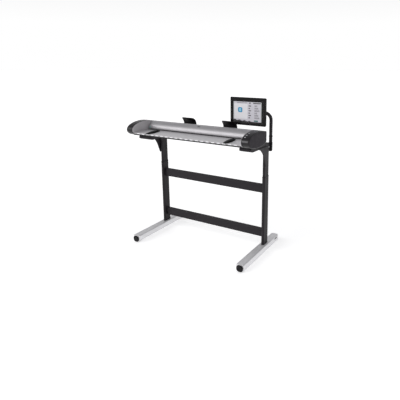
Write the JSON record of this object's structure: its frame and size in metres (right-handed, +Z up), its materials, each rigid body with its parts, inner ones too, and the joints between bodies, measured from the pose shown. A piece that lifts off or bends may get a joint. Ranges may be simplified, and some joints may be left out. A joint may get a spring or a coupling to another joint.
{
  "type": "wide-format document scanner",
  "caption": "Wide sheet-feed scanner with a curved lid and feed table on a height-adjustable twin-column stand, with a touch monitor on an arm.",
  "frame": {"origin": "on the floor, under the middle of the part's bounding box", "axes": "+Z up, +X towards the operator's right, +Y away from the operator"},
  "size_m": [1.334, 0.7716, 1.467],
  "materials": {
    "black_paint": "fine powder coat",
    "black_plastic": "fine grain",
    "charcoal": "fine grain",
    "grey_plastic": "satin",
    "silver": "silver lacquer, satin",
    "aluminium": "brushed, clear anodised",
    "steel": "zinc plated",
    "glass": "clear",
    "rubber": "ground rubber",
    "white_plastic": "matte",
    "button_grey": "satin",
    "teal_lens": "polished",
    "circuit_board": "solder mask",
    "screen": "glossy"
  },
  "bodies": {
    "stand": {"left_foot": "aluminium", "left_front_foot_cap": "black_plastic", "left_rear_foot_cap": "black_plastic", "left_outer_column": "black_paint", "left_column_collar": "black_plastic", "right_foot": "aluminium", "right_front_foot_cap": "black_plastic", "right_rear_foot_cap": "black_plastic", "right_outer_column": "black_paint", "right_column_collar": "black_plastic", "lower_crossbar": "black_paint", "upper_crossbar": "black_paint"},
    "left_clamp": {"left_clamp_screw": "steel"},
    "right_clamp": {"right_clamp_screw": "steel"},
    "head": {"left_inner_column": "black_paint", "left_support_arm": "black_paint", "left_arm_bolt": "steel", "left_end_cap": "charcoal", "left_inner_wall": "grey_plastic", "left_lid_pin": "steel", "right_inner_column": "black_paint", "right_support_arm": "black_paint", "right_arm_bolt": "steel", "right_end_cap": "charcoal", "right_inner_wall": "grey_plastic", "right_lid_pin": "steel", "chassis": "steel", "feed_table": "silver", "front_lip": "charcoal", "scan_glass": "glass", "image_sensor_bar": "black_plastic", "rear_deck": "charcoal", "drive_motor": "steel", "drive_belt": "rubber", "main_board": "circuit_board", "power_supply": "steel", "power_inlet": "black_plastic", "data_port": "steel", "monitor_post": "black_paint"},
    "front_drive": {"front_drive_roller": "rubber"},
    "rear_drive": {"rear_drive_roller": "rubber"},
    "motor_rotor": {"motor_pulley": "steel"},
    "switch_rocker": {"power_switch": "black_plastic"},
    "upper_key": {"upper_button": "button_grey"},
    "middle_key": {"middle_button": "button_grey"},
    "lower_key": {"lower_button": "button_grey"},
    "wide_key": {"wide_button": "charcoal"},
    "lid": {"lid_shell": "silver", "platen": "white_plastic", "status_lamp": "teal_lens"},
    "front_pinch": {"front_pinch_roller": "rubber"},
    "rear_pinch": {"rear_pinch_roller": "rubber"},
    "left_guide": {"left_paper_guide": "black_plastic"},
    "right_guide": {"right_paper_guide": "black_plastic"},
    "left_fin": {"left_return_fin": "black_plastic"},
    "right_fin": {"right_return_fin": "black_plastic"},
    "arm": {"monitor_arm": "black_paint"},
    "monitor": {"monitor_back": "black_plastic", "monitor_bezel": "black_plastic", "monitor_screen": "screen"}
  },
  "joints": [
    {"name": "height_adjust", "type": "slide", "parent": "stand", "child": "head", "axis": [0, 0, 1], "range_m": [-0.1, 0.1]},
    {"name": "left_clamp_turn", "type": "hinge", "parent": "stand", "child": "left_clamp", "pos_m": [-0.6, 0.1615, 0.706], "axis": [0, 1, 0], "range_deg": [0, 300]},
    {"name": "right_clamp_turn", "type": "hinge", "parent": "stand", "child": "right_clamp", "pos_m": [0.6, 0.1615, 0.706], "axis": [0, 1, 0], "range_deg": [0, 300]},
    {"name": "lid_open", "type": "hinge", "parent": "head", "child": "lid", "pos_m": [0, -0.0195, 1.16], "axis": [-1, 0, 0], "range_deg": [0, 50]},
    {"name": "front_drive_spin", "type": "hinge", "parent": "head", "child": "front_drive", "pos_m": [0, -0.0975, 1.113], "axis": [1, 0, 0], "continuous": true},
    {"name": "rear_drive_spin", "type": "hinge", "parent": "head", "child": "rear_drive", "pos_m": [0, -0.0375, 1.113], "axis": [1, 0, 0], "continuous": true},
    {"name": "motor_spin", "type": "hinge", "parent": "head", "child": "motor_rotor", "pos_m": [0, -0.1215, 1.1005], "axis": [1, 0, 0], "continuous": true},
    {"name": "front_pinch_spin", "type": "hinge", "parent": "lid", "child": "front_pinch", "pos_m": [0, -0.0975, 1.1286], "axis": [1, 0, 0], "continuous": true},
    {"name": "rear_pinch_spin", "type": "hinge", "parent": "lid", "child": "rear_pinch", "pos_m": [0, -0.0375, 1.1286], "axis": [1, 0, 0], "continuous": true},
    {"name": "upper_key_press", "type": "slide", "parent": "head", "child": "upper_key", "axis": [0, 0.1833, -0.9831], "range_m": [0, 0.0012], "stiffness_N_per_m": 500, "springref_m": -0.0015},
    {"name": "middle_key_press", "type": "slide", "parent": "head", "child": "middle_key", "axis": [0, 0.3199, -0.9475], "range_m": [0, 0.0012], "stiffness_N_per_m": 500, "springref_m": -0.0015},
    {"name": "lower_key_press", "type": "slide", "parent": "head", "child": "lower_key", "axis": [0, 0.4646, -0.8855], "range_m": [0, 0.0012], "stiffness_N_per_m": 500, "springref_m": -0.0015},
    {"name": "wide_key_press", "type": "slide", "parent": "head", "child": "wide_key", "axis": [0, 0.9596, -0.2814], "range_m": [0, 0.0012], "stiffness_N_per_m": 500, "springref_m": -0.0015},
    {"name": "power_switch_rock", "type": "hinge", "parent": "head", "child": "switch_rocker", "pos_m": [-0.645, -0.0132, 1.16], "axis": [-1, 0, 0], "range_deg": [0, 6]},
    {"name": "left_guide_slide", "type": "slide", "parent": "head", "child": "left_guide", "axis": [1, 0, 0], "range_m": [-0.1, 0.28]},
    {"name": "right_guide_slide", "type": "slide", "parent": "head", "child": "right_guide", "axis": [1, 0, 0], "range_m": [-0.28, 0.1]},
    {"name": "left_fin_lift", "type": "slide", "parent": "head", "child": "left_fin", "axis": [0, 0, 1], "range_m": [0, 0.05]},
    {"name": "right_fin_lift", "type": "slide", "parent": "head", "child": "right_fin", "axis": [0, 0, 1], "range_m": [0, 0.05]},
    {"name": "monitor_swivel", "type": "hinge", "parent": "head", "child": "arm", "pos_m": [0.614, 0.1825, 1.11], "axis": [0, 0, -1], "range_deg": [0, 75]},
    {"name": "monitor_tilt", "type": "hinge", "parent": "arm", "child": "monitor", "pos_m": [0.43, 0.1565, 1.338], "axis": [-1, 0, 0], "range_deg": [-8, 12]}
  ],
  "couplings": [
    {"joint": "rear_drive_spin", "follows": "front_drive_spin", "ratio": 1},
    {"joint": "motor_spin", "follows": "front_drive_spin", "ratio": 1.4},
    {"joint": "front_pinch_spin", "follows": "front_drive_spin", "ratio": -1.5},
    {"joint": "rear_pinch_spin", "follows": "front_drive_spin", "ratio": -1.5}
  ]
}
